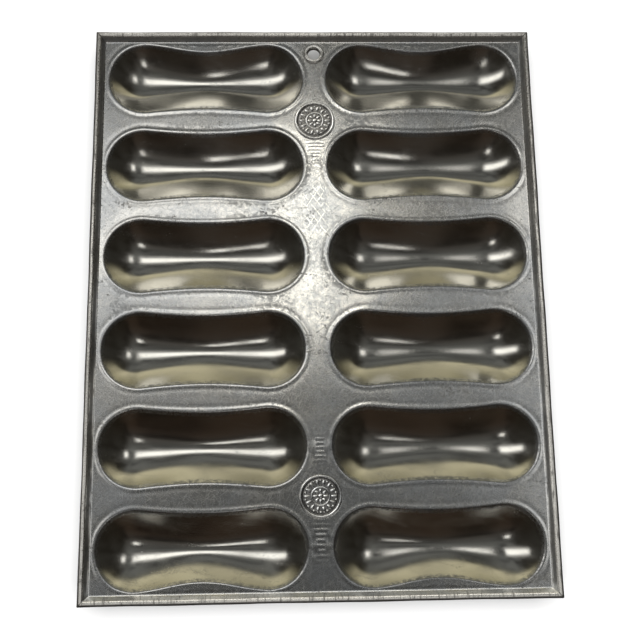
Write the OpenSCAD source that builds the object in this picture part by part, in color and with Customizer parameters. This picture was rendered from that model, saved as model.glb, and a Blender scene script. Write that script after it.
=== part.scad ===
// Waisted-well baking tray: one drawn tin-plated sheet with two columns of
// dog-bone wells, a shallow upturned border rolled over a steel wire, two
// embossed roundels and a hanging eyelet. Millimetres, +Z up. The origin is
// under the middle of the tray, on the surface that the wells stand on.

/* [Tray] */
// Overall width, across the two columns of wells
tray_w = 280; // [280:1:320]
// Overall length, along the columns of wells
tray_l = 356; // [356:1:400]
// Thickness of the tin-plated sheet
sheet_t = 0.8; // [0.6:0.1:1]

/* [Wells] */
// Length of a well, at the plate
well_l = 124; // [116:1:125]
// Width of a well across a lobe, at the plate
well_w = 46; // [42:1:46]
// Depth of a lobe below the plate
well_depth = 12; // [11:0.5:15]
// How far each long side pulls in at the waist
waist_in = 2; // [1.5:0.5:3]
// How far the long side next to the border pulls in at the waist
border_waist_in = 4.5; // [4:0.5:6]
// Distance between rows of wells
row_pitch = 59; // [58:0.2:59.4]
// Distance between the two columns of wells
column_pitch = 139; // [138:1:141]

/* [Border] */
// Width of the border, from its bend to its outer edge
border_w = 5.8; // [5.6:0.1:6]
// Height of the border above the plate
border_h = 4.4; // [4.2:0.2:5]
// Diameter of the wire inside the rolled edge
wire_d = 2; // [1.6:0.2:2]

/* [Hanging eyelet] */
// Bore of the eyelet
eyelet_bore_d = 7.8; // [7:0.2:8]
// Outer diameter of the eyelet's flange
eyelet_flange_d = 12.8; // [12:0.2:13]
// Distance of the eyelet from the tray's end
eyelet_from_end = 14.2; // [13.6:0.2:15]

/* [Roundels] */
// Diameter of an embossed roundel
roundel_d = 25; // [20:1:26]
// Height of the embossing
roundel_h = 0.7; // [0.4:0.1:1]

/* [Hidden] */
$fn = 96;
tin = "#9a9c9f";
wire_grey = "#6f7073";
eyelet_grey = "#b9babc";
big = 500;

// Heights of the plate
plate_top = well_depth + sheet_t;
plate_under = well_depth;

// A well is the lower part of a solid of revolution that lies along X, with
// ball-shaped lobes at its ends and a hollow waist between them
lobe_r = (pow(well_w / 2, 2) + pow(well_depth, 2)) / (2 * well_depth);
axis_up = lobe_r - well_depth;
lobe_x = (well_l - well_w) / 2;
waist_bite = 0.15;
waist_r = sqrt(pow(well_w / 2 - waist_in, 2) + pow(axis_up, 2)) + waist_bite;
waist_arc = arc_radius(lobe_x, waist_r, lobe_r);
border_waist_y = well_w / 2 - border_waist_in + waist_bite;
border_waist_arc = arc_radius(lobe_x, border_waist_y, well_w / 2);

// Border section: the bead's centre from the bend, and the slope of the wall,
// which runs into the bead a little below its skin
wire_r = wire_d / 2;
bead_r = wire_r + sheet_t;
bead_x = border_w - bead_r;
bead_z = border_h - bead_r;
bead_reach = sqrt(bead_x * bead_x + bead_z * bead_z);
wall_sink = 0.08;
wall_overrun = 0.3;
wall_angle = atan2(bead_z, bead_x) + asin((bead_r - wall_sink) / bead_reach);
wall_len = sqrt(bead_reach * bead_reach - pow(bead_r - wall_sink, 2)) + wall_overrun;
curl_gap_from = wall_angle + 112;
curl_gap_to = wall_angle + 145;
wire_clear = 0.02;
wire_gap = 1;
mitre_over = 1;

// Eyelet section
barrel_t = 0.6;
barrel_clear = 0.01;
barrel_r = eyelet_bore_d / 2 + barrel_t;
ring_w = (eyelet_flange_d - eyelet_bore_d) / 2;
ring_mid = (eyelet_flange_d + eyelet_bore_d) / 4;
barrel_up = 0.7;
clinch_drop = 0.8;
clinch_w = 1.6;

// Roundel: its ground, its rim, and its ring of round petals about a boss
ground_h = roundel_h / 3;
raised_rim_w = 1.4;
petals = 12;
petal_d = 0.09 * roundel_d;
petal_h = 0.8 * roundel_h;
petal_ring_r = 0.3 * roundel_d;
boss_d = 0.24 * roundel_d;
boss_h = 0.9 * roundel_h;

// Rows of wells in each column
rows = 6;

// Places
eyelet_y = tray_l / 2 - eyelet_from_end;
roundel_y = (rows / 2 - 1) * row_pitch;

// Radius of the arc through the middle of a waist that touches both lobes
function arc_radius(lobe_at, waist, lobe) =
    (lobe_at * lobe_at + waist * waist - lobe * lobe) / (2 * (lobe - waist));

// Row 1 is at the far end, next to the eyelet
function row_y(row) = ((rows + 1) / 2 - row) * row_pitch;

// Half of a well's section along its length, grown by the sheet's thickness
module well_profile(grow) {
    waist_at = waist_r + waist_arc - waist_bite;
    difference() {
        union() {
            for (side = [-1, 1])
                translate([0, side * lobe_x]) circle(r = lobe_r + grow);
            translate([0, -lobe_x]) square([lobe_r, 2 * lobe_x]);
        }
        translate([waist_at, 0]) circle(r = waist_arc - grow, $fn = 1440);
        translate([-big, -big / 2]) square([big, big]);
    }
}

// The whole body of a well, up to a height above the plate; border_side is 1
// or -1 where the +Y or -Y side is next to the border, else 0
module well_body(grow, border_side, up) {
    difference() {
        translate([0, 0, plate_top + axis_up]) rotate([0, 90, 0])
            rotate_extrude() well_profile(grow);
        translate([-big / 2, -big / 2, plate_top + up]) cube([big, big, big]);
        if (border_side != 0)
            translate([0, border_side * (border_waist_y + border_waist_arc - waist_bite), 0])
                cylinder(r = border_waist_arc - grow, h = big, center = true, $fn = 720);
    }
}

// Side of a row that is next to the border; row 1 is the far one
function border_side(row) = row == 1 ? 1 : row == rows ? -1 : 0;

// The drawn shell of one well, up to the plate's top face
module well(side, row) {
    color(tin) translate([side * column_pitch / 2, row_y(row), 0]) difference() {
        well_body(sheet_t, border_side(row), 0);
        well_body(0, border_side(row), 1);
    }
}

// Section of the upturned wall; X runs outward from the bend, Y up from the plate
module wall_section() {
    run = [cos(wall_angle), sin(wall_angle)];
    out = [sin(wall_angle), -cos(wall_angle)];
    foot = sheet_t * tan(wall_angle / 2);
    polygon([
        [0, 0], wall_len * run, wall_len * run + sheet_t * out, [foot, -sheet_t], [0, -sheet_t]
    ]);
}

// Section of the rolled edge, with the gap that its tucked-in end leaves
module curl_section() {
    gap_r = 2 * bead_r;
    translate([bead_x, bead_z]) difference() {
        circle(r = bead_r);
        polygon([
            [0, 0],
            gap_r * [cos(curl_gap_from), sin(curl_gap_from)],
            gap_r * [cos(curl_gap_to), sin(curl_gap_to)]
        ]);
    }
}

// One side of the border, on +X, mitred at both ends, with rounded tips
module border_strip(half_w, half_l) {
    color(tin) intersection() {
        translate([half_w - border_w, half_l, plate_top]) rotate([90, 0, 0]) difference() {
            union() {
                linear_extrude(2 * half_l) wall_section();
                linear_extrude(2 * half_l) curl_section();
            }
            translate([bead_x, bead_z, -1]) cylinder(r = wire_r, h = 2 * half_l + 2);
        }
        linear_extrude(big) intersection() {
            polygon([
                [half_w - half_l, 0],
                [half_w + mitre_over, half_l + mitre_over],
                [half_w + mitre_over, -half_l - mitre_over]
            ]);
            footprint(half_w, half_l);
        }
    }
}

// The tray's outline, with rounded corner tips
module footprint(half_w, half_l) {
    for (side = [-1, 1], end = [-1, 1])
        translate([side * (half_w - bead_r), end * (half_l - bead_r)]) circle(r = bead_r);
    square([2 * half_w, 2 * (half_l - bead_r)], center = true);
    square([2 * (half_w - bead_r), 2 * half_l], center = true);
}

// One cross web: the flat sheet between the middle lines of two rows of wells,
// or between the first or last row and the border's bend
module cross_web(number) {
    half_l = tray_l / 2 - border_w;
    far_y = number == 1 ? half_l : row_y(number - 1);
    near_y = number == rows + 1 ? -half_l : row_y(number);
    color(tin) difference() {
        translate([border_w - tray_w / 2, near_y, plate_under])
            cube([tray_w - 2 * border_w, far_y - near_y, sheet_t]);
        for (row = [number - 1, number], side = [-1, 1])
            if (row >= 1 && row <= rows)
                translate([side * column_pitch / 2, row_y(row), 0])
                    well_body(sheet_t, border_side(row), 1);
        if (number == 1) translate([0, eyelet_y, 0]) cylinder(r = barrel_r, h = big);
    }
}

// Embossed roundel: a raised rim, and a ring of petals round a centre boss
module roundel(end) {
    color(tin) translate([0, end * roundel_y, plate_top]) {
        linear_extrude(ground_h) circle(d = roundel_d);
        linear_extrude(roundel_h) difference() {
            circle(d = roundel_d);
            circle(d = roundel_d - 2 * raised_rim_w);
        }
        for (i = [0 : petals - 1]) rotate(i * 360 / petals)
            translate([petal_ring_r, 0, 0]) cylinder(d = petal_d, h = petal_h);
        cylinder(d = boss_d, h = boss_h);
    }
}

// The wire runs all the way round, and its two ends meet in the left side
module rim_wire() {
    x = tray_w / 2 - bead_r;
    y = tray_l / 2 - bead_r;
    r = wire_r - wire_clear;
    color(wire_grey) translate([0, 0, plate_top + bead_z]) difference() {
        union() {
            for (side = [-1, 1]) {
                translate([side * x, 0, 0]) rotate([90, 0, 0]) cylinder(r = r, h = 2 * y, center = true);
                translate([0, side * y, 0]) rotate([0, 90, 0]) cylinder(r = r, h = 2 * x, center = true);
                for (end = [-1, 1]) translate([side * x, end * y, 0]) sphere(r = r);
            }
        }
        translate([-x, 0, 0]) cube([4 * r, wire_gap, 4 * r], center = true);
    }
}

// Rolled flange on the plate, a barrel through it, and a clinched skirt below
module hanging_eyelet() {
    color(eyelet_grey) translate([0, eyelet_y, 0]) rotate_extrude() {
        difference() {
            translate([ring_mid, plate_top]) circle(r = ring_w / 2, $fn = 48);
            translate([0, plate_top - ring_w]) square([eyelet_flange_d, ring_w]);
        }
        translate([eyelet_bore_d / 2, plate_under - clinch_drop])
            square([barrel_t - barrel_clear, sheet_t + clinch_drop + barrel_up]);
        translate([eyelet_bore_d / 2, plate_under - clinch_drop]) square([clinch_w, clinch_drop]);
    }
}

cross_web(1);  // cross_web_1
cross_web(2);  // cross_web_2
cross_web(3);  // cross_web_3
cross_web(4);  // cross_web_4
cross_web(5);  // cross_web_5
cross_web(6);  // cross_web_6
cross_web(7);  // cross_web_7
rotate(180) border_strip(tray_w / 2, tray_l / 2);  // border_left
border_strip(tray_w / 2, tray_l / 2);  // border_right
rotate(90) border_strip(tray_l / 2, tray_w / 2);  // border_far
rotate(-90) border_strip(tray_l / 2, tray_w / 2);  // border_near
well(-1, 1);  // well_left_1
well(-1, 2);  // well_left_2
well(-1, 3);  // well_left_3
well(-1, 4);  // well_left_4
well(-1, 5);  // well_left_5
well(-1, 6);  // well_left_6
well(1, 1);  // well_right_1
well(1, 2);  // well_right_2
well(1, 3);  // well_right_3
well(1, 4);  // well_right_4
well(1, 5);  // well_right_5
well(1, 6);  // well_right_6
roundel(1);  // roundel_far
roundel(-1);  // roundel_near
rim_wire();
hanging_eyelet();
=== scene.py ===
"""Looks of the waisted-well baking tray: the drawn sheet, its rolled border,
the two roundels, the hanging eyelet and the rim wire, built round the frame."""

import math

import bpy
import numpy as np
from mathutils import Matrix, Vector, geometry


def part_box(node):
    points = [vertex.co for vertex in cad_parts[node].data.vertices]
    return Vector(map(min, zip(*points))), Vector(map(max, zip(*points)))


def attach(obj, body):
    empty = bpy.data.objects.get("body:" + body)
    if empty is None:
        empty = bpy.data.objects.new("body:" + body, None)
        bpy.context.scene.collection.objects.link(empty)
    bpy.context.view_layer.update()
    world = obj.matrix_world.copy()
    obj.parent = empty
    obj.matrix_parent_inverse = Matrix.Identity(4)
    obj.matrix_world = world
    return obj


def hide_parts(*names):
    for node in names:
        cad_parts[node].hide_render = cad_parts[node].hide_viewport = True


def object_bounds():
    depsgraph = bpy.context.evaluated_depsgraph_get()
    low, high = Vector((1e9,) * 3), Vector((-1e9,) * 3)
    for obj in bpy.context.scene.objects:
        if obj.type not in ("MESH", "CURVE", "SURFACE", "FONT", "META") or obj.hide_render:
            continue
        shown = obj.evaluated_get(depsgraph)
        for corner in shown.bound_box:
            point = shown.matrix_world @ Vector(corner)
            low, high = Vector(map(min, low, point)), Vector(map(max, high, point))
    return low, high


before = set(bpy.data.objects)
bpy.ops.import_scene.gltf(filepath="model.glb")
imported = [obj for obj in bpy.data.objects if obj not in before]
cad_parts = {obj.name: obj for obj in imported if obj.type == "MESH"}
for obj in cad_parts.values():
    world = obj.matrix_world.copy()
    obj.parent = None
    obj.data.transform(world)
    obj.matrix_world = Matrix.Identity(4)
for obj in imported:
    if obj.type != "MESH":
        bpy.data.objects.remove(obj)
cad_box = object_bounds()

MM = 0.001
SIDES = ("left", "right")
ROWS = range(1, 7)

# ---------------------------------------------------------------- the frame

tray_hi = cad_box[1]
half_w = tray_hi.x
half_l = tray_hi.y
web_lo, web_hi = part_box("cross_web_4")
plate_top = web_hi.z
sheet_t = web_hi.z - web_lo.z
bend_x = web_hi.x
bend_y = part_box("cross_web_1")[1].y

# A well's plan at the plate: two round lobes, joined by a waist
well_lo, well_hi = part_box("well_left_2")
lobe_r = (well_hi.y - well_lo.y) / 2 - sheet_t
lobe_x = (well_hi.x - well_lo.x) / 2 - sheet_t - lobe_r
well_depth = plate_top - sheet_t

# How far the long sides pull in at the waist, inside and next to the border
waist_in = 2.2 * MM
border_waist_in = 5 * MM
border_waist_run = 36 * MM

# A well's section: the radius of its floor in the lobes and at the waist, how much higher the floor
# is at the waist, and the radius over which the walls turn out into the plate
lobe_floor_r = 19 * MM
waist_floor_r = 10 * MM
waist_lift = 1.2 * MM
shoulder_r = 2.4 * MM

# The border's section
wire_lo, wire_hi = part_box("rim_wire")
bead_r = (wire_hi.z - wire_lo.z) / 2 + sheet_t
bead_q = half_w - bead_r - bend_x
bead_z = tray_hi.z - bead_r - plate_top
bend_r = 0.9 * MM
bead_reach = math.hypot(bead_q, bead_z)
wall_angle = math.atan2(bead_z, bead_q) + math.asin(bead_r / bead_reach)
bend_run = bend_r * math.tan(wall_angle / 2)
curl_end = math.radians(-150)
corner_gap = 0.3 * MM


def middle(node):
    """The middle of a CAD node's box."""
    lo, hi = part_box(node)
    return (lo + hi) / 2


def well_centre(side, row):
    return middle(f"well_{side}_{row}")


def row_y(row):
    return well_centre("left", row).y


# ------------------------------------------------- the sheet's gentle unevenness

SWELLS = [
    # wave length (mm), turn of the way it runs (degrees), height (mm)
    (46, 20, 0.030),
    (31, 75, 0.020),
    (67, 130, 0.035),
    (19, 50, 0.006),
    (14, 105, 0.004),
]
RIPPLES = [
    # distance from the middle along the tray, reach, spacing, height (mm)
    (97, 9, 2.3, 0.026),
    (-144, 12, 3.0, 0.070),
    (-90, 8, 2.6, 0.040),
    (40, 8, 2.6, 0.010),
]
RIPPLE_HALF_W = 6.5
RIPPLE_BOW = 0.012

# How far a well's shoulder reaches past its edge, and how far in from the borders' bend the swells
# and the draw's marks reach their full height (mm)
SHOULDER_OUT = 0.8
SWELL_FADE = 12
DRAW_FADE = 2

# The draw leaves a faint lip round each well, and a fainter dip outside that
LIP = (
    # distance from the well's edge, reach, height (mm)
    (0.5, 0.8, 0.085),
    (2.5, 1.1, -0.060),
)


def unevenness(x, y):
    """How far the plate stands above or below flat at these points."""
    x_mm, y_mm = x / MM, y / MM
    rise = np.zeros_like(x_mm)
    for wave, turn, height in SWELLS:
        along = x_mm * math.cos(math.radians(turn)) + y_mm * math.sin(math.radians(turn))
        rise += height * np.sin(2 * math.pi * along / wave + wave)
    for at, reach, spacing, height in RIPPLES:
        fall = np.exp(-((y_mm - at) / reach) ** 4 - (x_mm / RIPPLE_HALF_W) ** 4)
        bow = RIPPLE_BOW * x_mm ** 2
        rise += height * fall * np.sin(2 * math.pi * (y_mm - at + bow) / spacing)
    inset = (np.minimum(bend_x - np.abs(x), bend_y - np.abs(y)) - bend_run) / MM
    outside = np.maximum(well_distance(x, y) / MM - SHOULDER_OUT, 0)
    drawn = sum(height * np.exp(-((outside - at) / reach) ** 2) for at, reach, height in LIP)
    return (rise * smooth(inset / SWELL_FADE) + drawn * smooth(inset / DRAW_FADE)) * MM


def smooth(value):
    """0 to 1 carried smoothly to 0 to 1, with level ends."""
    share = np.clip(value, 0, 1)
    return share ** 2 * (3 - 2 * share)


def well_distance(x, y):
    """Roughly how far these points are outside the nearest well's edge."""
    across, pitch = well_centre("right", ROWS[0]).x, row_y(ROWS[0]) - row_y(ROWS[1])
    row = np.clip(np.round((row_y(ROWS[0]) - y) / pitch), 0, len(ROWS) - 1)
    x, y = np.abs(x) - across, y - row_y(ROWS[0]) + row * pitch
    return np.hypot(np.maximum(np.abs(x) - lobe_x, 0), y) - half_width(x)


def uneven(points, normals):
    """The points and normals of the sheet, raised by its unevenness, which dies out down the wells."""
    step = 0.05 * MM
    x, y = points[:, 0], points[:, 1]
    share = np.clip(1 + (points[:, 2] - plate_top) / well_depth, 0, 1)
    rise = unevenness(x, y)
    slope_x = (unevenness(x + step, y) - unevenness(x - step, y)) / (2 * step)
    slope_y = (unevenness(x, y + step) - unevenness(x, y - step)) / (2 * step)
    moved = points.copy()
    moved[:, 2] += rise * share
    turned = normals.copy()
    turned[:, 0] -= slope_x * share * normals[:, 2]
    turned[:, 1] -= slope_y * share * normals[:, 2]
    return moved, unit(turned)


def unit(vectors):
    return vectors / np.linalg.norm(vectors, axis=1, keepdims=True)


# ------------------------------------------------------------ mesh building

WELD = 0.0005 * MM


def merged(points, faces):
    """Joins points that coincide: which of them are kept, and the faces without repeated corners."""
    keys = np.round(points / WELD).astype(np.int64)
    _, kept, place = np.unique(keys, axis=0, return_index=True, return_inverse=True)
    place = place.ravel()
    joined = []
    for face in faces:
        corners = []
        for corner in (int(place[i]) for i in face):
            if corner not in corners:
                corners.append(corner)
        if len(corners) > 2:
            joined.append(tuple(corners))
    return kept, joined


def grid_faces(count_u, count_v, closed_u):
    """Quads of a grid of count_u rows with count_v points each, closed from the last row or not."""
    runs = count_u if closed_u else count_u - 1
    faces = []
    for u in range(runs):
        after = (u + 1) % count_u
        for v in range(count_v - 1):
            here, there = u * count_v + v, after * count_v + v
            faces.append((here, here + 1, there + 1, there))
    return faces


def add_mesh(name, points, faces, corner_normals):
    mesh = bpy.data.meshes.new(name)
    mesh.from_pydata(points.tolist(), [], faces)
    mesh.polygons.foreach_set("use_smooth", [True] * len(mesh.polygons))
    mesh.normals_split_custom_set(corner_normals)
    piece = bpy.data.objects.new(name, mesh)
    bpy.context.scene.collection.objects.link(piece)
    return piece


def sheet_metal(name, points, normals, faces, back=None):
    """A closed piece of sheet under the given upper surface, whose faces run anticlockwise from
    above. The back is the sheet's thickness down the normals unless it is given."""
    count = len(points)
    under = points - sheet_t * normals if back is None else back
    once = {}
    for face in faces:
        for a, b in zip(face, face[1:] + face[:1]):
            if (b, a) in once:
                del once[(b, a)]
            else:
                once[(a, b)] = True
    walls = [(b, a, a + count, b + count) for a, b in once]
    backs = [tuple(i + count for i in reversed(face)) for face in faces]
    both = np.vstack([points, under])
    corner_normals = [normals[i] for face in faces for i in face]
    corner_normals += [-normals[i - count] for face in backs for i in face]
    for wall in walls:
        a, b, c, d = (both[i] for i in wall)
        out = np.cross(c - a, d - b)
        out = out / max(np.linalg.norm(out), 1e-12)
        corner_normals += [out] * 4
    return add_mesh(name, both, faces + backs + walls, corner_normals)


# ------------------------------------------------------------------ a well

FAN_STEPS = 40
SIDE_STEPS = 64
BOWL_STEPS = 26
SHOULDER_STEPS = 8
BISECTIONS = 30

# The floor's middle line is averaged over this much of the well's length each way, and the easing
# has died out at this share of the half width
EASE_RUN = 13 * MM
EASE_STEPS = 27
EASE_REACH = 0.93

# The waist is an arc that touches both lobes
waist_w = lobe_r - waist_in
waist_arc = (lobe_x ** 2 + waist_w ** 2 - lobe_r ** 2) / (2 * waist_in)
waist_meets = lobe_x * waist_arc / (waist_arc + lobe_r)


def half_width(x):
    """Half of a well's width at x along it, where its wall would meet the plate."""
    x = np.abs(x)
    on_arc = np.minimum(x, waist_meets)
    arc = waist_w + waist_arc - np.sqrt(waist_arc ** 2 - on_arc ** 2)
    off = np.clip(x, waist_meets, lobe_x) - lobe_x
    return np.where(x < waist_meets, arc, np.sqrt(lobe_r ** 2 - off ** 2))


def section_shape(x):
    """A well's half width and depth at x along it, and its hyperbola: the square of the slope that the
    walls tend to, and the height of its middle above the lines that they tend to."""
    waisted = np.cos(math.pi / 2 * np.clip(np.abs(x) / lobe_x, 0, 1)) ** 2
    width = half_width(x)
    depth = well_depth - waist_lift * waisted
    floor_r = lobe_floor_r + (waist_floor_r - lobe_floor_r) * waisted
    steep = depth ** 2 / (width ** 2 - 2 * depth * floor_r)
    return width, depth, steep, floor_r * steep


def bare_floor(x, y):
    """Height of the well's floor and walls against the plate, with no shoulder."""
    _, depth, steep, lift = section_shape(x)
    reach = np.hypot(np.maximum(np.abs(x) - lobe_x, 0), y)
    return np.sqrt(lift ** 2 + steep * reach ** 2) - lift - depth


def floor_easing(x, y):
    """How far the floor stands off its bare shape, so that the middle line bends gradually into the
    lobes' ends; it dies out up the walls."""
    reach = np.hypot(np.maximum(np.abs(x) - lobe_x, 0), y) / half_width(x)
    share = np.clip(1 - (reach / EASE_REACH) ** 2, 0, 1) ** 2
    shifts = np.linspace(-EASE_RUN, EASE_RUN, EASE_STEPS)
    weights = np.cos(math.pi / 2 * shifts / (EASE_RUN * (1 + 1 / EASE_STEPS))) ** 2
    eased = sum(weight * bare_floor(x + shift, y) for weight, shift in zip(weights, shifts))
    return share * (eased / weights.sum() - bare_floor(x, y))


def well_section(x, fillet):
    """A well's section at x along it, a hyperbola whose walls turn out into the plate: distance from
    the middle line, height above the plate, and the normal's two parts."""
    width, depth, steep, lift = section_shape(x)

    def rise(q):
        bow = np.sqrt(lift ** 2 + steep * q ** 2)
        return bow - lift, steep * q / bow

    low, high = np.zeros_like(width), width.copy()
    for _ in range(BISECTIONS):
        end_q = (low + high) / 2
        height, slope = rise(end_q)
        past = height - depth > -fillet * (1 - 1 / np.sqrt(1 + slope ** 2))
        high = np.where(past, end_q, high)
        low = np.where(past, low, end_q)
    steepest = np.arctan(rise(end_q)[1])
    wall_q = end_q * np.linspace(0, 1, BOWL_STEPS + 1)
    height, slope = rise(wall_q)
    lean = np.hstack([np.arctan(slope), steepest * np.linspace(1, 0, SHOULDER_STEPS + 1)[1:]])
    turn = lean[:, BOWL_STEPS + 1:]
    q = np.hstack([wall_q, end_q + fillet * (np.sin(steepest) - np.sin(turn))])
    z = np.hstack([height - depth, fillet * (np.cos(turn) - 1)])
    return q, z, -np.sin(lean), np.cos(lean)


def border_squeeze(x):
    """How much the side next to the border is narrowed at x, as a factor, and how fast that changes."""
    share = np.clip(np.abs(x) / border_waist_run, 0, 1)
    depth = (border_waist_in - waist_in) / waist_w
    factor = 1 - depth * np.cos(math.pi * share / 2) ** 2
    slope = depth * np.sin(math.pi * share) * math.pi / 2 / border_waist_run * np.sign(x)
    return factor, slope


def well_stations():
    """Places round a well's outline: the x where its section starts, the two parts of the way that it
    runs, and the x whose section it has."""
    fan = np.linspace(-math.pi / 2, math.pi / 2, FAN_STEPS + 1)
    run = np.linspace(lobe_x, -lobe_x, SIDE_STEPS + 1)[1:-1]
    rows = [(lobe_x, math.cos(a), math.sin(a), lobe_x) for a in fan]
    rows += [(x, 0.0, 1.0, x) for x in run]
    rows += [(-lobe_x, -math.cos(a), -math.sin(a), -lobe_x) for a in fan]
    rows += [(x, 0.0, -1.0, x) for x in run[::-1]]
    return np.array(rows)


def well_surface(row, fillet):
    """Upper surface of a well round its own middle: points and normals, station by station, from the
    floor's middle line out to the plate."""
    stations = well_stations()
    start_x, way_x, way_y, x = (stations[:, i:i + 1] for i in range(4))
    in_fan = np.abs(way_x) > 1e-9
    q, z, normal_q, normal_z = well_section(x, fillet)
    step = 0.01 * MM
    q_ahead, z_ahead = well_section(x + step, fillet)[:2]
    q_behind, z_behind = well_section(x - step, fillet)[:2]
    normal_x = -(normal_q * (q_ahead - q_behind) + normal_z * (z_ahead - z_behind)) / (2 * step)
    normal_x = np.where(in_fan, 0.0, normal_x)
    at_x, at_y = start_x + way_x * q, way_y * q
    step = 0.1 * MM
    ease_x = (floor_easing(at_x + step, at_y) - floor_easing(at_x - step, at_y)) / (2 * step)
    ease_y = (floor_easing(at_x, at_y + step) - floor_easing(at_x, at_y - step)) / (2 * step)
    points = np.stack([at_x, at_y, z + floor_easing(at_x, at_y)], axis=-1)
    normals = np.stack([
        way_x * normal_q + normal_x - ease_x * normal_z,
        way_y * normal_q - ease_y * normal_z,
        normal_z,
    ], axis=-1)
    border_side = {ROWS[0]: 1, ROWS[-1]: -1}.get(row, 0)
    squeezed = (np.sign(points[..., 1]) == border_side) & (border_side != 0)
    factor, change = border_squeeze(points[..., 0])
    across = points[..., 1]
    turned_x = normals[..., 0] - change * across / factor * normals[..., 1]
    normals[..., 0] = np.where(squeezed, turned_x, normals[..., 0])
    normals[..., 1] = np.where(squeezed, normals[..., 1] / factor, normals[..., 1])
    points[..., 1] = np.where(squeezed, across * factor, across)
    return points, normals


def well_outline(side, row):
    """The well's edge on the plate, anticlockwise from the -Y side of its right-hand lobe."""
    points, _ = well_surface(row, shoulder_r)
    centre = well_centre(side, row)
    return points[:, -1, :2] + np.array([centre.x, centre.y])


def make_well(side, row):
    points, normals = well_surface(row, shoulder_r)
    centre = well_centre(side, row)
    count_u, count_v = points.shape[:2]
    points = points.reshape(-1, 3) + np.array([centre.x, centre.y, plate_top])
    normals = unit(normals.reshape(-1, 3))
    points, normals = uneven(points, normals)
    faces = grid_faces(count_u, count_v, True)
    kept, faces = merged(points, faces)
    piece = sheet_metal(f"drawn_well_{side}_{row}", points[kept], normals[kept], faces)
    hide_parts(f"well_{side}_{row}")
    return piece


# --------------------------------------------------------------- cross webs

GRID = 1.8 * MM
FINE_GRID = 0.42 * MM
FINE_HALF_W = 8 * MM
LINE_STEP = 2 * MM
KEEP_OFF = 0.6 * MM
RINGS = (0.6 * MM, 1.2 * MM, 1.9 * MM, 2.7 * MM, 3.6 * MM)
RING_OFF = 0.4 * MM
ROUND_STEPS = 144

ROUNDELS = ("roundel_far", "roundel_near")
roundel_lo, roundel_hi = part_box("roundel_far")
roundel_margin = 0.7 * MM
roundel_r = (roundel_hi.x - roundel_lo.x) / 2 + roundel_margin
eyelet_lo, eyelet_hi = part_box("hanging_eyelet")
eyelet_at = middle("hanging_eyelet")
eyelet_flange_r = (eyelet_hi.x - eyelet_lo.x) / 2
eyelet_hole_r = 4.5 * MM


def circle(centre, radius, steps):
    turn = np.linspace(0, 2 * math.pi, steps, endpoint=False)
    return np.column_stack([centre.x + radius * np.cos(turn), centre.y + radius * np.sin(turn)])


def span(a, b):
    """Points from a to b, evenly spaced about LINE_STEP apart, without b."""
    a, b = np.array(a), np.array(b)
    steps = max(1, int(round(np.linalg.norm(b - a) / LINE_STEP)))
    return a + (b - a) * np.arange(steps)[:, None] / steps


def row_line(row, upper):
    """From the left border to the right one along a row's middle line, round the upper or the lower
    side of its two wells."""
    y = row_y(row)
    edge_x = bend_x - bend_run
    parts = []
    at = np.array([-edge_x, y])
    for side in SIDES:
        outline = well_outline(side, row)

        # The two points where the outline crosses the row's middle line, right and left
        first = FAN_STEPS // 2
        second = first + FAN_STEPS + SIDE_STEPS
        over = outline[first:second + 1][::-1]
        under = np.vstack([outline[second:], outline[:first + 1]])
        half = over if upper else under
        parts.append(span(at, half[0]))
        parts.append(half[:-1])
        at = half[-1]
    parts.append(span(at, [edge_x, y]))
    parts.append(np.array([[edge_x, y]]))
    return np.vstack(parts)


def nearest(points, outline):
    """Distance from each point to the nearest corner of an outline."""
    return np.sqrt(((points[:, None, :] - outline[None, :, :]) ** 2).sum(-1)).min(1)


def inside(points, outline):
    """Which points lie within a closed outline."""
    x, y = points[:, :1], points[:, 1:]
    x1, y1 = outline[:, 0], outline[:, 1]
    x2, y2 = np.roll(x1, -1), np.roll(y1, -1)
    crosses = (y1 > y) != (y2 > y)
    with np.errstate(divide="ignore", invalid="ignore"):
        at = x1 + (y - y1) * (x2 - x1) / (y2 - y1)
    return (crosses & (x < at)).sum(1) % 2 == 1


def ring_points(row):
    """Points in rings round a row's wells, where the draw has shaped the plate."""
    rings = []
    for side in SIDES:
        edge = well_outline(side, row)
        along = unit(np.roll(edge, -1, axis=0) - np.roll(edge, 1, axis=0))
        out = np.column_stack([along[:, 1], -along[:, 0]])
        rings += [edge + out * distance for distance in RINGS]
    return np.vstack(rings)


def fill_points(outline, holes, rows):
    """Points inside a web: in rings round its wells, close together over the ripples in the middle,
    and further apart elsewhere."""
    lo, hi = outline.min(0), outline.max(0)
    x, y = np.meshgrid(np.arange(lo[0], hi[0], GRID), np.arange(lo[1], hi[1], GRID))
    coarse = np.column_stack([x.ravel(), y.ravel()])
    coarse = coarse[np.abs(coarse[:, 0]) > FINE_HALF_W + GRID / 2]
    across = np.arange(-FINE_HALF_W, FINE_HALF_W + GRID / 4, GRID / 2)
    x, y = np.meshgrid(across, np.arange(lo[1], hi[1], FINE_GRID))
    fine = np.column_stack([x.ravel(), y.ravel()])
    points = np.vstack([coarse, fine])
    clear = RINGS[-1] + SHOULDER_OUT * MM + KEEP_OFF
    points = points[well_distance(points[:, 0], points[:, 1]) > clear]
    rings = np.vstack([ring_points(row) for row in rows])
    rings = rings[nearest(rings, outline) > RING_OFF]
    points = points[nearest(points, outline) > KEEP_OFF]
    points = np.vstack([points, rings])
    points = points[inside(points, outline)]
    for hole in holes:
        points = points[~inside(points, hole) & (nearest(points, hole) > KEEP_OFF)]
    return points


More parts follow.
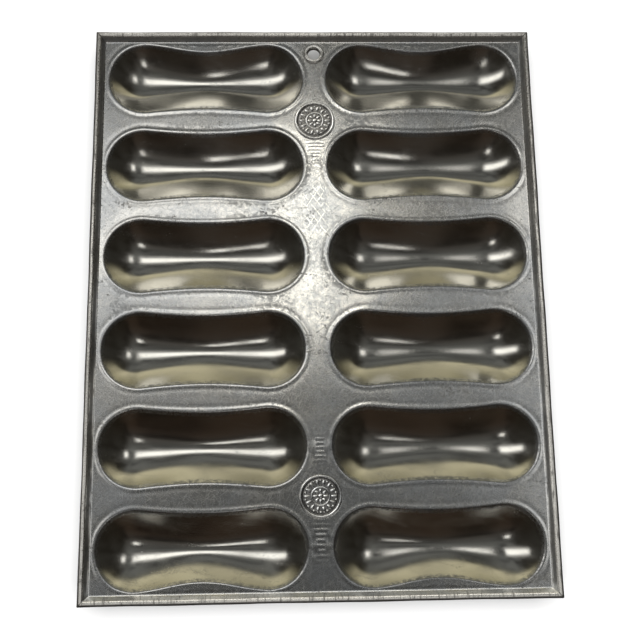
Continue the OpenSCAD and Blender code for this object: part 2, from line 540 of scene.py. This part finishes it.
def web_lines(number):
    """The near and the far edge of a web, each from the left border to the right one."""
    end_y = bend_y - bend_run
    edge_x = bend_x - bend_run
    if number == ROWS[0]:
        far = np.vstack([span([-edge_x, end_y], [edge_x, end_y]), [[edge_x, end_y]]])
    else:
        far = row_line(number - 1, False)
    if number > ROWS[-1]:
        near = np.vstack([span([-edge_x, -end_y], [edge_x, -end_y]), [[edge_x, -end_y]]])
    else:
        near = row_line(number, True)
    return near, far


def filled(outline, holes, loose):
    """Triangles over an outline less its holes, with loose points among them: points and faces."""
    loops = [outline] + holes
    flat = np.vstack(loops + [loose])
    edges = []
    start = 0
    for loop in loops:
        count = len(loop)
        edges += [(start + i, start + (i + 1) % count) for i in range(count)]
        start += count
    found = geometry.delaunay_2d_cdt(
        [Vector(p) for p in flat], edges, [list(range(len(outline)))], 1, 1e-9)
    origin = [came[0] for came in found[3]]
    faces = [tuple(origin[i] for i in face) for face in found[2]]
    centres = np.array([flat[list(face)].mean(0) for face in faces])
    keep = inside(centres, outline)
    for hole in holes:
        keep &= ~inside(centres, hole)
    faces = [face for face, kept in zip(faces, keep) if kept]
    used = sorted({i for face in faces for i in face})
    place = {old: new for new, old in enumerate(used)}
    return flat[used], [tuple(place[i] for i in face) for face in faces]


def make_web(number):
    near, far = web_lines(number)
    right = span(near[-1], far[-1])[1:]
    left = span(far[0], near[0])[1:]
    outline = np.vstack([near, right, far[::-1], left])
    holes = []
    if number == ROWS[0]:
        holes.append(circle(eyelet_at, eyelet_hole_r, ROUND_STEPS // 3))
    for name in ROUNDELS:
        at = middle(name)
        if near[0][1] < at.y < far[0][1]:
            holes.append(circle(at, roundel_r, ROUND_STEPS))
    rows = [row for row in (number - 1, number) if row in ROWS]
    flat, faces = filled(outline, holes, fill_points(outline, holes, rows))
    points = np.column_stack([flat, np.full(len(flat), plate_top)])
    normals = np.tile([0.0, 0.0, 1.0], (len(points), 1))
    points, normals = uneven(points, normals)
    piece = sheet_metal(f"plate_web_{number}", points, normals, faces)
    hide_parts(f"cross_web_{number}")
    return piece


# ------------------------------------------------------------------- border

RUN_STEPS = 150
BEND_STEPS = 5
WALL_STEPS = 4
CURL_STEPS = 30
WOBBLE_FADE = 10 * MM


def border_section():
    """The border's outer skin from the plate's edge round to the tucked-in end: distance outward from
    the bend, height above the plate, the normal's two parts, and 1 on the bead or 0 on the wall."""
    rows = []
    for turn in np.linspace(0, wall_angle, BEND_STEPS + 1):
        q = -bend_run + bend_r * math.sin(turn)
        rows.append((q, bend_r - bend_r * math.cos(turn), -math.sin(turn), math.cos(turn), 0))
    foot = rows[-1]
    lean = wall_angle + math.pi / 2
    head = (bead_q + bead_r * math.cos(lean), bead_z + bead_r * math.sin(lean))
    for share in np.linspace(0, 1, WALL_STEPS + 1)[1:-1]:
        q = foot[0] + (head[0] - foot[0]) * share
        rows.append((q, foot[1] + (head[1] - foot[1]) * share, foot[2], foot[3], 0))
    for turn in np.linspace(lean, curl_end, CURL_STEPS + 1):
        q = bead_q + bead_r * math.cos(turn)
        rows.append((q, bead_z + bead_r * math.sin(turn), math.cos(turn), math.sin(turn), 1))
    return np.array(rows)


def make_border(name, bend_at, run_at, turn):
    """One side of the border, built along +X's edge and then turned round Z by quarter turns."""
    section = border_section()
    q, z, normal_q, normal_z, on_bead = (section[:, i][None, :] for i in range(5))
    share = np.linspace(-1, 1, RUN_STEPS + 1)[:, None]
    reach = run_at + q - corner_gap * on_bead
    along = share * reach
    wobble = border_wobble(along, turn) * np.clip(z / bead_z, 0, 1)
    level = np.zeros_like(along)
    points = np.stack([bend_at + q - wobble, along, plate_top + z + level], axis=-1).reshape(-1, 3)
    normals = np.stack([normal_q + level, level, normal_z + level], axis=-1).reshape(-1, 3)
    quarter = np.array(Matrix.Rotation(math.radians(90 * turn), 3, "Z"))
    points, normals = points @ quarter.T, unit(normals) @ quarter.T
    faces = grid_faces(RUN_STEPS + 1, section.shape[0], False)
    piece = sheet_metal(f"rolled_{name}", points, normals, faces)
    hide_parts(name)
    return piece


def border_wobble(along, turn):
    """How far the hand-rolled bead strays inward along its run; it is nothing at the corners."""
    s = along / MM
    sway = 0.16 + 0.10 * np.sin(s / 17 + turn) + 0.06 * np.sin(s / 6.3 + 2 * turn)
    ends = np.clip((np.abs(along).max() - np.abs(along)) / WOBBLE_FADE, 0, 1)
    return sway * ends * MM


# ----------------------------------------------------------------- roundels

ROUNDEL_RINGS = 58
ROUNDEL_TURNS = 240
ROUNDEL_FADE = 0.35
PETALS = 14
INNER_PETALS = 8


def bump_at(distance, width):
    """A round hump, 1 at distance 0 and 0 from width on."""
    share = np.clip(np.abs(distance) / width, 0, 1)
    return 1 - share ** 2


def band(radius, at, half_w, height):
    """A raised or, with a height below 0, a sunk ring."""
    return height * bump_at(radius - at, half_w)


def petals(radius, turn, count, at, half_l, half_w, height):
    """A ring of petals that point outward, or of round beads, the first of them on the +X side."""
    sector = 2 * math.pi / count
    off = (turn + sector / 2) % sector - sector / 2
    return height * bump_at(np.hypot((radius - at) / half_l, off * radius / half_w), 1)


def roundel_relief(radius, turn):
    """Height of the embossing: a raised rim with a groove inside it and a dip outside it, a ring of
    petals with beads between their tips, and a small rosette round a boss. All in millimetres."""
    rim = band(radius, 11.9, 1.0, 0.62)
    groove = band(radius, 10.4, 0.8, -0.32)
    outer = band(radius, 12.95, 0.6, -0.28)
    petal = petals(radius, turn, PETALS, 8.0, 1.9, 0.95, 0.66)
    half_turn = math.pi / PETALS
    bead = petals(radius, turn - half_turn, PETALS, 9.3, 0.8, 0.8, 0.55)
    ring = band(radius, 5.3, 0.6, 0.45)
    rosette = petals(radius, turn, INNER_PETALS, 3.1, 1.5, 0.95, 0.55)
    boss = band(radius, 0, 1.4, 0.6)
    ground = 0.02 * np.clip((11.4 - radius) / 0.8, 0, 1)
    return ground + rim + groove + outer + petal + bead + ring + rosette + boss


def make_roundel(name):
    at = middle(name)
    radius = np.linspace(0, roundel_r, ROUNDEL_RINGS + 1)[None, :] + np.zeros((ROUNDEL_TURNS, 1))
    turn = np.linspace(0, 2 * math.pi, ROUNDEL_TURNS, endpoint=False)[:, None]
    x, y = radius * np.cos(turn), radius * np.sin(turn)
    step = 0.02

    def height_at(px, py):
        reach = np.hypot(px, py)
        fade = np.clip((roundel_r / MM - reach) / ROUNDEL_FADE, 0, 1)
        return roundel_relief(reach, np.arctan2(py, px)) * fade

    px, py = x / MM, y / MM
    height = height_at(px, py) * MM
    slope_x = (height_at(px + step, py) - height_at(px - step, py)) / (2 * step)
    slope_y = (height_at(px, py + step) - height_at(px, py - step)) / (2 * step)
    slope_x[:, -1] = 0
    slope_y[:, -1] = 0
    points = np.stack([x + at.x, y + at.y, height + plate_top], axis=-1).reshape(-1, 3)
    normals = np.stack([-slope_x, -slope_y, np.ones_like(height)], axis=-1).reshape(-1, 3)
    points, normals = uneven(points, unit(normals))
    faces = grid_faces(ROUNDEL_TURNS, ROUNDEL_RINGS + 1, True)
    outer_ring = np.arange(ROUNDEL_TURNS) * (ROUNDEL_RINGS + 1) + ROUNDEL_RINGS
    back = points - sheet_t * np.array([0.0, 0.0, 1.0])
    back[outer_ring] = points[outer_ring] - sheet_t * normals[outer_ring]
    kept, faces = merged(points, faces)
    piece = sheet_metal(f"embossed_{name}", points[kept], normals[kept], faces, back[kept])
    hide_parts(name)
    return piece


# ------------------------------------------------------------------- eyelet

EYELET_TURNS = 96
FLANGE_STEPS = 24
SKIRT_STEPS = 12

bore_r = 3.9 * MM
barrel_r = 4.45 * MM
skirt_r = 5.0 * MM
skirt_half_w = 0.6 * MM
flange_foot_in = 0.2 * MM
flange_rise = 0.02 * MM
flange_fullness = 0.8
bore_end = 0.15 * MM


def eyelet_section():
    """Closed section of the eyelet, radius and height above the plate, from the bore's lower end up
    over the rolled flange and down the barrel to the clinched skirt."""
    low = eyelet_lo.z - plate_top
    crest = eyelet_hi.z - plate_top
    flange_mid = (bore_r + eyelet_flange_r) / 2
    flange_half_w = (eyelet_flange_r - bore_r) / 2
    points = [(bore_r, low + bore_end)]
    for turn in np.linspace(math.pi, 0, FLANGE_STEPS + 1):
        height = crest * math.sin(turn) ** flange_fullness + flange_rise
        points.append((flange_mid + flange_half_w * math.cos(turn), height))
    points.append((eyelet_flange_r - flange_foot_in, 0.0))
    points.append((barrel_r, 0.0))
    points.append((barrel_r, -sheet_t))
    for turn in np.linspace(0, -math.pi, SKIRT_STEPS + 1):
        reach = skirt_r + skirt_half_w * math.cos(turn)
        points.append((reach, -sheet_t + (sheet_t + low) * -math.sin(turn)))
    return points


def make_eyelet():
    section = eyelet_section()
    count = len(section)
    points = []
    for turn in np.linspace(0, 2 * math.pi, EYELET_TURNS, endpoint=False):
        way_x, way_y = math.cos(turn), math.sin(turn)
        for r, z in section:
            points.append((eyelet_at.x + r * way_x, eyelet_at.y + r * way_y, plate_top + z))
    faces = []
    for u in range(EYELET_TURNS):
        here, there = u * count, (u + 1) % EYELET_TURNS * count
        for v in range(count):
            up = (v + 1) % count
            faces.append((here + v, here + up, there + up, there + v))
    mesh = bpy.data.meshes.new("clinched_eyelet")
    mesh.from_pydata(points, [], faces)
    mesh.polygons.foreach_set("use_smooth", [True] * len(mesh.polygons))
    mesh.set_sharp_from_angle(angle=math.radians(40))
    piece = bpy.data.objects.new("clinched_eyelet", mesh)
    bpy.context.scene.collection.objects.link(piece)
    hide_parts("hanging_eyelet")
    return piece


# ---------------------------------------------------------------- materials

BRIGHT_TIN = (0.83, 0.81, 0.755, 1)
COOL_TIN = (0.59, 0.60, 0.60, 1)
CUT_TIN = (0.95, 0.94, 0.88, 1)
WARM_TIN = (0.80, 0.775, 0.70, 1)
WORN_TIN = (0.66, 0.64, 0.59, 1)
# A near-black used both for real dirt and for painted shade
SOOT_AND_PAINTED_SHADE = (0.10, 0.093, 0.085, 1)
RUBBED_EYELET = (0.80, 0.79, 0.75, 1)
DULL_EYELET = (0.48, 0.46, 0.42, 1)
GREY_STEEL = (0.30, 0.29, 0.28, 1)
BROWN_STEEL = (0.12, 0.10, 0.085, 1)

PLATE_SCRATCHES = (
    # turn (degrees), length and width (mm), amount, shift of the pattern (mm)
    (28, 7, 0.20, 0.37, 3),
    (-37, 9, 0.18, 0.36, 31),
    (84, 11, 0.20, 0.36, 57),
    (8, 14, 0.18, 0.35, 83),
    (52, 16, 0.26, 0.34, 17),
    (-62, 18, 0.28, 0.34, 71),
)

# The diamond scratches in the middle, between the second and the third row (degrees, mm)
HATCH_TURNS = (33, -36)
HATCH_SPACING = 3.8


def node(tree, kind, sockets=None, **settings):
    """A shader node with its settings and sockets filled in; a socket's value may be another socket."""
    made = tree.nodes.new(kind)
    for key, value in settings.items():
        setattr(made, key, value)
    for key, value in (sockets or {}).items():
        if isinstance(value, bpy.types.NodeSocket):
            tree.links.new(value, made.inputs[key])
        else:
            made.inputs[key].default_value = value
    return made


def math_node(tree, operation, a, b=0.0, c=0.0):
    return node(tree, "ShaderNodeMath", {0: a, 1: b, 2: c}, operation=operation).outputs[0]


def ramp(tree, value, low, high, to_low=0.0, to_high=1.0):
    """A value carried smoothly from low..high to to_low..to_high."""
    sockets = {"Value": value, "From Min": low, "From Max": high, "To Min": to_low, "To Max": to_high}
    return node(tree, "ShaderNodeMapRange", sockets, interpolation_type="SMOOTHSTEP").outputs["Result"]


def times(tree, a, b):
    return math_node(tree, "MULTIPLY", a, b)


def larger(tree, a, b):
    return math_node(tree, "MAXIMUM", a, b)


def without(tree, share):
    return math_node(tree, "SUBTRACT", 1.0, share)


def mix_colour(tree, share, a, b, blend="MIX"):
    sockets = {0: share, 6: a, 7: b}
    return node(tree, "ShaderNodeMix", sockets, data_type="RGBA", blend_type=blend).outputs[2]


def mix_value(tree, share, a, b):
    sockets = {0: share, 2: a, 3: b}
    return node(tree, "ShaderNodeMix", sockets, data_type="FLOAT").outputs[0]


def noise(tree, where, scale, detail=3.0, roughness=0.55, distortion=0.0):
    sockets = {
        "Vector": where, "Scale": scale, "Detail": detail, "Roughness": roughness,
        "Distortion": distortion,
    }
    return node(tree, "ShaderNodeTexNoise", sockets).outputs["Fac"]


def in_mm(tree):
    """Object coordinates in millimetres."""
    coords = node(tree, "ShaderNodeTexCoord").outputs["Object"]
    return node(tree, "ShaderNodeVectorMath", {0: coords, "Scale": 1 / MM}, operation="SCALE").outputs[0]


def stretched(tree, where, turn, stretch, shift=0.0):
    """Coordinates turned round Z, then squeezed, so that noise in them makes streaks along the turn."""
    turned = node(
        tree, "ShaderNodeMapping",
        {"Vector": where, "Rotation": (0, 0, math.radians(turn)), "Location": (shift, shift, 0)},
    ).outputs[0]
    return node(tree, "ShaderNodeMapping", {"Vector": turned, "Scale": stretch}).outputs[0]


def scratches(tree, where, turn, length, width, amount, shift):
    """Thin straight marks in one direction: 1 in a mark and 0 beside it."""
    coords = stretched(tree, where, turn, (1 / length, 1 / width, 1 / length), shift)
    streak = noise(tree, coords, 1.0, 2.0, 0.5)
    return ramp(tree, streak, 1 - amount, 1 - amount + 0.05)


def new_material(name):
    material = bpy.data.materials.new(name)
    material.use_nodes = True
    tree = material.node_tree
    tree.nodes.clear()
    return material, tree


def finish_material(tree, colour, roughness, height, bump_distance):
    bump = node(tree, "ShaderNodeBump", {"Height": height, "Distance": bump_distance, "Strength": 1.0})
    shader = node(tree, "ShaderNodeBsdfPrincipled", {"Base Color": colour, "Roughness": roughness})
    shader.inputs["Metallic"].default_value = 1.0
    tree.links.new(bump.outputs[0], shader.inputs["Normal"])
    output = node(tree, "ShaderNodeOutputMaterial")
    tree.links.new(shader.outputs[0], output.inputs["Surface"])


def sheet_parts(tree, at):
    """Which part of the sheet each point is on, as a share from 0 to 1 for each part; groove, outside,
    sunk and foot are the places where shade is painted.
    """
    x, y, z = node(tree, "ShaderNodeSeparateXYZ", {"Vector": at}).outputs
    x_out, y_out = math_node(tree, "ABSOLUTE", x), math_node(tree, "ABSOLUTE", y)
    top, near_end = plate_top / MM, -half_l / MM

    def at_height(start, end):
        return ramp(tree, z, top + start, top + end)

    def off_middle(along, place):
        """Distance in plan from a place on the tray's middle line."""
        run = math_node(tree, "SUBTRACT", along, place / MM)
        return math_node(tree, "SQRT", math_node(tree, "MULTIPLY_ADD", run, run, times(tree, x, x)))

    bowl = at_height(-0.7, -2.2)
    bead = at_height(2.9, 3.5)
    off_roundel = off_middle(y_out, middle("roundel_far").y)
    roundel = ramp(tree, off_roundel, roundel_r / MM, roundel_r / MM - 0.8)
    flange = eyelet_flange_r / MM
    past_x = math_node(tree, "SUBTRACT", x_out, half_w / MM)
    past_y = math_node(tree, "SUBTRACT", y_out, half_l / MM)
    wall = times(tree, at_height(0.7, 1.5), without(tree, bead))
    patch_at = Vector((0, (row_y(2) + row_y(3)) / 2 / MM, top))
    off_patch = node(tree, "ShaderNodeVectorMath", {0: at, 1: patch_at}, operation="DISTANCE")
    in_patch = ramp(tree, off_patch.outputs["Value"], 17, 13)
    return {
        "bowl": bowl,
        "bead": bead,
        "rim": times(tree, at_height(-0.03, -0.08), without(tree, bowl)),
        "border": times(tree, at_height(0.2, 0.5), without(tree, roundel)),
        # The border's inner wall, less toward the near side, where shade is painted
        "groove": times(tree, wall, ramp(tree, y, near_end + 6, near_end + 10, 0.3, 1.0)),
        # The bead's outer edge in plan, where a dark reflection is painted
        "outside": ramp(tree, larger(tree, past_x, past_y), -1.8, -1.0),
        # The roundels' sunk ground, where shade is painted into the recesses
        "sunk": times(tree, roundel, at_height(0.28, 0.05)),
        # A ring round the eyelet's foot, where a contact shadow is painted
        "foot": ramp(tree, off_middle(y, eyelet_at.y), flange + 0.9, flange + 0.1, 0.0, 0.85),
        "patch": times(tree, in_patch, ramp(tree, x_out, 9, 6)),
    }


def plate_marks(tree, at):
    """Fine scratches that cross all over the plate."""
    marks = 0.0
    for turn, length, width, amount, shift in PLATE_SCRATCHES:
        marks = larger(tree, marks, scratches(tree, at, turn, length, width, amount, shift))
    return marks


def hatching(tree, at):
    """Broken lines in two directions that cross in diamonds."""
    hatch = 0.0
    for turn in HATCH_TURNS:
        turned = stretched(tree, at, turn, (1, 1, 1))
        run = node(tree, "ShaderNodeSeparateXYZ", {"Vector": turned}).outputs["X"]
        line = ramp(tree, math_node(tree, "PINGPONG", run, HATCH_SPACING / 2), 0.50, 0.25)
        kept = ramp(tree, noise(tree, turned, 0.22, 2.0, 0.5), 0.42, 0.52)
        hatch = larger(tree, hatch, times(tree, line, kept))
    return hatch


def tinned_sheet():
    """Tinned steel with tarnish, scratches and burnt-on dirt, by the part of the sheet, with shade
    painted into the roundels' recesses, round the eyelet's foot and on the rolled border.
    """
    material, tree = new_material("tinned_sheet")
    at = in_mm(tree)
    on = sheet_parts(tree, at)
    clouds = noise(tree, at, 0.022, 5.0, 0.6, 0.4)
    mottle = noise(tree, at, 0.42, 6.0, 0.8)
    speckle = noise(tree, at, 0.75, 6.0, 0.75)
    grain = noise(tree, at, 1.9, 5.0, 0.7)
    smudge = noise(tree, stretched(tree, at, 12, (0.05, 0.12, 0.08)), 1.0, 6.0, 0.72, 0.8)
    brushed = noise(tree, stretched(tree, at, 90, (0.09, 5.5, 0.09)), 1.0, 3.0, 0.6)
    ticks = noise(tree, stretched(tree, at, 0, (1.0, 0.10, 0.10)), 1.0, 3.0, 0.6)
    tarnish = math_node(tree, "MULTIPLY_ADD", mottle, 0.5, times(tree, clouds, 0.7))
    marks = plate_marks(tree, at)
    hatch = times(tree, hatching(tree, at), on["patch"])

    # Dirt: smudges where the sheet is seldom rubbed and round the wells' edges; and a painted contact
    # shadow in a ring round the eyelet's foot
    dirt_and_painted_shade = ramp(tree, times(tree, smudge, speckle), 0.29, 0.40)
    dirt_and_painted_shade = times(tree, dirt_and_painted_shade, mix_value(tree, on["bowl"], 0.8, 0.2))
    rim_dirt = times(tree, on["rim"], ramp(tree, mottle, 0.42, 0.60, 0.0, 0.5))
    dirt_and_painted_shade = larger(tree, dirt_and_painted_shade, larger(tree, rim_dirt, on["foot"]))

    # Grime in ticks across the borders; and painted shade in the rolled edge's groove, weaker toward the
    # near side, and along the bead's outer edge
    grime_and_painted_shade = times(tree, on["groove"], ramp(tree, speckle, 0.25, 0.6, 1.0, 0.75))
    border_ticks = times(tree, on["border"], ramp(tree, ticks, 0.53, 0.64, 0.0, 0.7))
    grime_and_painted_shade = larger(tree, larger(tree, grime_and_painted_shade, border_ticks), on["outside"])

    colour = mix_colour(tree, ramp(tree, tarnish, 0.46, 0.74), BRIGHT_TIN, COOL_TIN)
    for share, metal in (
        (times(tree, on["patch"], 0.8), COOL_TIN), (hatch, CUT_TIN), (on["bowl"], WARM_TIN),
        # The roundels' sunk ground is darkened as painted shade
        (on["bead"], WORN_TIN), (times(tree, on["sunk"], 0.75), SOOT_AND_PAINTED_SHADE), (dirt_and_painted_shade, SOOT_AND_PAINTED_SHADE),
        (times(tree, grime_and_painted_shade, 0.9), SOOT_AND_PAINTED_SHADE),
    ):
        colour = mix_colour(tree, share, colour, metal)

    plate_rough = ramp(tree, tarnish, 0.4, 0.8, 0.17, 0.27)
    plate_rough = mix_value(tree, times(tree, marks, 0.5), plate_rough, 0.45)
    bowl_rough = ramp(tree, smudge, 0.35, 0.75, 0.13, 0.22)
    bead_rough = ramp(tree, speckle, 0.3, 0.7, 0.20, 0.34)
    roughness = mix_value(tree, on["bowl"], plate_rough, bowl_rough)
    roughness = mix_value(tree, on["bead"], roughness, bead_rough)
    roughness = mix_value(tree, larger(tree, dirt_and_painted_shade, grime_and_painted_shade), roughness, 0.55)

    cuts = larger(tree, times(tree, marks, 0.4), hatch)
    plate_height = math_node(tree, "MULTIPLY_ADD", cuts, -1.0, times(tree, grain, 0.8))
    height = mix_value(tree, on["bowl"], plate_height, times(tree, brushed, 0.75))
    finish_material(tree, colour, roughness, height, 0.010 * MM)
    return material


def eyelet_metal():
    material, tree = new_material("eyelet_metal")
    at = in_mm(tree)
    rub = noise(tree, at, 0.8, 4.0, 0.6)
    fine = noise(tree, at, 6.0, 3.0, 0.6)
    colour = mix_colour(tree, ramp(tree, rub, 0.35, 0.65), RUBBED_EYELET, DULL_EYELET)
    finish_material(tree, colour, ramp(tree, rub, 0.3, 0.7, 0.2, 0.38), fine, 0.006 * MM)
    return material


def wire_steel():
    material, tree = new_material("wire_steel")
    at = in_mm(tree)
    scale = noise(tree, at, 1.4, 5.0, 0.7)
    colour = mix_colour(tree, ramp(tree, scale, 0.35, 0.65), GREY_STEEL, BROWN_STEEL)
    finish_material(tree, colour, ramp(tree, scale, 0.3, 0.7, 0.35, 0.6), scale, 0.02 * MM)
    return material


def dress(piece, material):
    piece.data.materials.clear()
    piece.data.materials.append(material)
    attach(piece, "root")


# -------------------------------------------------------------------- stage

FLOOR_REACH = 3.0
LAMP_HEIGHT = 1.3
PANEL_LEFT_END = -1.5

DARK_ROOM = (0.020, 0.014, 0.010, 1)
GREY_ROOM = (0.085, 0.088, 0.088, 1)
SIDE_ROOM = (0.012, 0.010, 0.007, 1)
LOW_KHAKI = (0.26, 0.24, 0.15, 1)
HIGH_KHAKI = (0.60, 0.56, 0.40, 1)
BACKDROP = (0.95, 0.95, 0.95, 1)
WARM_WHITE = (1, 0.98, 0.92)

# Softbox panels: place and width along the tray, radiance, where the left-hand panel ends, and where
# the right-hand one starts and ends
WELL_PANELS = (
    (0.38, 0.30, 1.2, 0.04, 0.50, 0.70),
    (0.38, 0.34, 1.1, 0.04, 0.50, 0.70),
    (0.38, 0.46, 0.7, 0.06, 0.48, 0.72),
    (0.38, 0.76, 0.2, 0.10, 0.46, 0.74),
)
PLATE_PANELS = (
    (0.45, 0.26, 1.25, -0.07, 0.46, 0.80),
    (0.43, 0.46, 0.32, -0.08, 0.46, 0.82),
    (0.38, 0.80, 0.10, -0.04, 0.42, 0.84),
)


def add_camera():
    """The camera stands over the near half of the tray and looks down a little forward."""
    camera = bpy.data.objects.new("camera", bpy.data.cameras.new("camera"))
    bpy.context.scene.collection.objects.link(camera)
    stand = Vector((-0.0159, -0.1187, plate_top + 0.5399))
    aim = Vector((0.0013, -0.0121, plate_top))
    lean = Vector((0.9995, -0.0158, 0.0283))
    forward = (aim - stand).normalized()
    right = (lean - forward * lean.dot(forward)).normalized()
    up = right.cross(forward)
    turn = Matrix((right, up, -forward)).transposed()
    camera.matrix_world = Matrix.Translation(stand) @ turn.to_4x4()
    camera.data.lens = 50.6
    camera.data.sensor_width = 36
    camera.data.clip_start = 0.01
    bpy.context.scene.camera = camera


def add_floor():
    """A pale floor under the tray, which the metal doesn't mirror."""
    mesh = bpy.data.meshes.new("floor")
    corners = [(x * FLOOR_REACH, y * FLOOR_REACH, 0) for x, y in ((-1, -1), (1, -1), (1, 1), (-1, 1))]
    mesh.from_pydata(corners, [], [(0, 1, 2, 3)])
    floor = bpy.data.objects.new("floor", mesh)
    bpy.context.scene.collection.objects.link(floor)
    material, tree = new_material("pale_floor")
    shader = node(tree, "ShaderNodeBsdfPrincipled", {"Base Color": (0.9, 0.9, 0.9, 1), "Roughness": 0.9})
    output = node(tree, "ShaderNodeOutputMaterial")
    tree.links.new(shader.outputs[0], output.inputs["Surface"])
    floor.data.materials.append(material)
    floor.visible_glossy = False
    return floor


def add_light(name, place, target, size, radiance, receivers, colour=(1, 1, 1)):
    """An area light of the given radiance, whatever its size, that lights one collection of pieces."""
    data = bpy.data.lights.new(name, "AREA")
    data.shape = "RECTANGLE"
    data.size, data.size_y = size
    data.energy = math.pi * radiance * size[0] * size[1]
    data.color = colour
    light = bpy.data.objects.new(name, data)
    bpy.context.scene.collection.objects.link(light)
    light.location = place
    away = Vector(target) - Vector(place)
    light.rotation_euler = away.to_track_quat("-Z", "Y").to_euler()
    light.light_linking.receiver_collection = receivers


def add_world():
    """A dim room for the metal to reflect, and a pale backdrop for the camera."""
    world = bpy.data.worlds.new("studio")
    bpy.context.scene.world = world
    world.use_nodes = True
    tree = world.node_tree
    tree.nodes.clear()
    way = node(tree, "ShaderNodeTexCoord").outputs["Generated"]
    x, y, z = node(tree, "ShaderNodeSeparateXYZ", {"Vector": way}).outputs
    patches = noise(tree, way, 2.6, 3.0, 0.55, 0.3)

    # The room is greyer toward the far side, patchy, and darker at the sides
    room = mix_colour(tree, ramp(tree, y, -0.92, 0.12), DARK_ROOM, GREY_ROOM)
    shade = ramp(tree, patches, 0.34, 0.62, 0.35, 1.5)
    shades = node(tree, "ShaderNodeCombineColor", {0: shade, 1: shade, 2: shade}).outputs[0]
    room = mix_colour(tree, 1.0, room, shades, "MULTIPLY")
    aside = ramp(tree, math_node(tree, "ABSOLUTE", x), 0.15, 0.6, 0.0, 0.85)
    room = mix_colour(tree, aside, room, SIDE_ROOM)

    # A low khaki band on the far side
    low = times(tree, ramp(tree, z, 0.43, 0.38), ramp(tree, y, 0.4, 0.88))
    low = times(tree, low, ramp(tree, patches, 0.3, 0.6, 0.6, 1.0))
    khaki = mix_colour(tree, ramp(tree, z, 0.05, 0.38), LOW_KHAKI, HIGH_KHAKI)
    room = mix_colour(tree, low, room, khaki)

    seen = node(tree, "ShaderNodeLightPath").outputs["Is Camera Ray"]
    shown = mix_colour(tree, seen, room, BACKDROP)
    background = node(tree, "ShaderNodeBackground", {"Color": shown, "Strength": 1.0})
    output = node(tree, "ShaderNodeOutputWorld")
    tree.links.new(background.outputs[0], output.inputs["Surface"])


def lit_group(name, pieces):
    group = bpy.data.collections.new(name)
    for piece in pieces:
        group.objects.link(piece)
    return group


def add_panels(name, panels, receivers):
    """Softbox panels in pairs overhead, with a gap between the left one and the right one."""
    for number, (at_y, wide, radiance, left_end, right_start, right_end) in enumerate(panels):
        for side, low, high in (("left", PANEL_LEFT_END, left_end), ("right", right_start, right_end)):
            middle_x, across = (low + high) / 2, high - low
            add_light(f"{name}_{side}_{number}", (middle_x, at_y, LAMP_HEIGHT), (middle_x, at_y, 0),
                      (across, wide), radiance, receivers)


def add_lights(lit):
    """All the lights. Each one lights one of the groups of pieces in lit."""
    origin = (0, 0, 0)
    add_light("floor_wash", (0, 0, 1.6), origin, (3.4, 3.4), 2.3, lit["floor"])

    # Soft panels over the wells and the plate; the wells also have a long one to the right of the
    # gap and a lamp behind the camera
    add_panels("well_panel", WELL_PANELS, lit["wells"])
    add_panels("plate_panel", PLATE_PANELS, lit["plate"])
    add_light("well_window", (0.60, 0.38, LAMP_HEIGHT), (0.60, 0.38, 0), (0.16, 0.74), 1.0, lit["wells"])
    add_light("rear_lamp", (-0.05, -0.70, LAMP_HEIGHT), origin, (0.24, 0.20), 1.1, lit["wells"])

    # A glow along the plate's middle, a glint and a fill for the roundels, and low lights on three
    # sides of the webs
    add_light("spine_glow", (0.02, 0.44, LAMP_HEIGHT), (0.02, 0.44, 0), (0.17, 0.44), 3.0,
              lit["plate"], WARM_WHITE)
    add_light("roundel_glint", (-1.0, 0.9, 0.9), origin, (1.0, 1.0), 2.5, lit["roundels"])
    add_light("roundel_fill", (0.03, -0.12, LAMP_HEIGHT), (0.03, -0.12, 0), (0.5, 0.3), 0.45,
              lit["roundels"])
    for name, x, y in (("front", 0, -2.2), ("left", -2.2, 0), ("right", 2.2, 0)):
        size = (6.0, 1.3) if x == 0 else (1.3, 6.0)
        add_light(f"plate_low_{name}", (x, y, 0.7), origin, size, 0.8, lit["flat"])

    # The borders, some of whose lights the roundels and the eyelet share
    add_light("border_back", (0, 1.5, 1.0), origin, (3.0, 0.5), 1.8, lit["raised"])
    add_light("border_low", (0, 1.6, 0.25), origin, (2.4, 0.5), 1.7, lit["rim"])
    add_light("border_low_side", (-1.6, 0, 0.25), origin, (0.5, 2.4), 0.7, lit["rim"])
    add_light("border_over", (0, -0.3, LAMP_HEIGHT), (0, -0.3, 0), (3.0, 1.2), 0.6, lit["rim"])
    add_light("border_front", (0, -1.5, 1.1), origin, (3.0, 0.4), 0.9, lit["raised"])
    add_light("border_side", (-1.5, 0, 1.1), origin, (0.4, 3.0), 0.5, lit["raised"])


# ----------------------------------------------------------------- assembly

tin = tinned_sheet()
webs = [make_web(number) for number in range(ROWS[0], ROWS[-1] + 2)]
wells = [make_well(side, row) for side in SIDES for row in ROWS]
borders = [
    make_border("border_right", bend_x, bend_y, 0),
    make_border("border_far", bend_y, bend_x, 1),
    make_border("border_left", bend_x, bend_y, 2),
    make_border("border_near", bend_y, bend_x, 3),
]
roundels = [make_roundel(name) for name in ROUNDELS]
for piece in webs + wells + borders + roundels:
    dress(piece, tin)
eyelet = make_eyelet()
dress(eyelet, eyelet_metal())

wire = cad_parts["rim_wire"]
wire.data.materials.clear()
wire.data.materials.append(wire_steel())

add_camera()
add_world()
add_lights({name: lit_group(f"lit_{name}", pieces) for name, pieces in (
    ("floor", [add_floor()]),
    ("flat", webs),
    ("plate", webs + borders + roundels + [eyelet, wire]),
    ("wells", wells),
    ("rim", borders),
    ("raised", borders + roundels + [eyelet]),
    ("roundels", roundels),
)})
bpy.context.scene.view_settings.view_transform = "Standard"
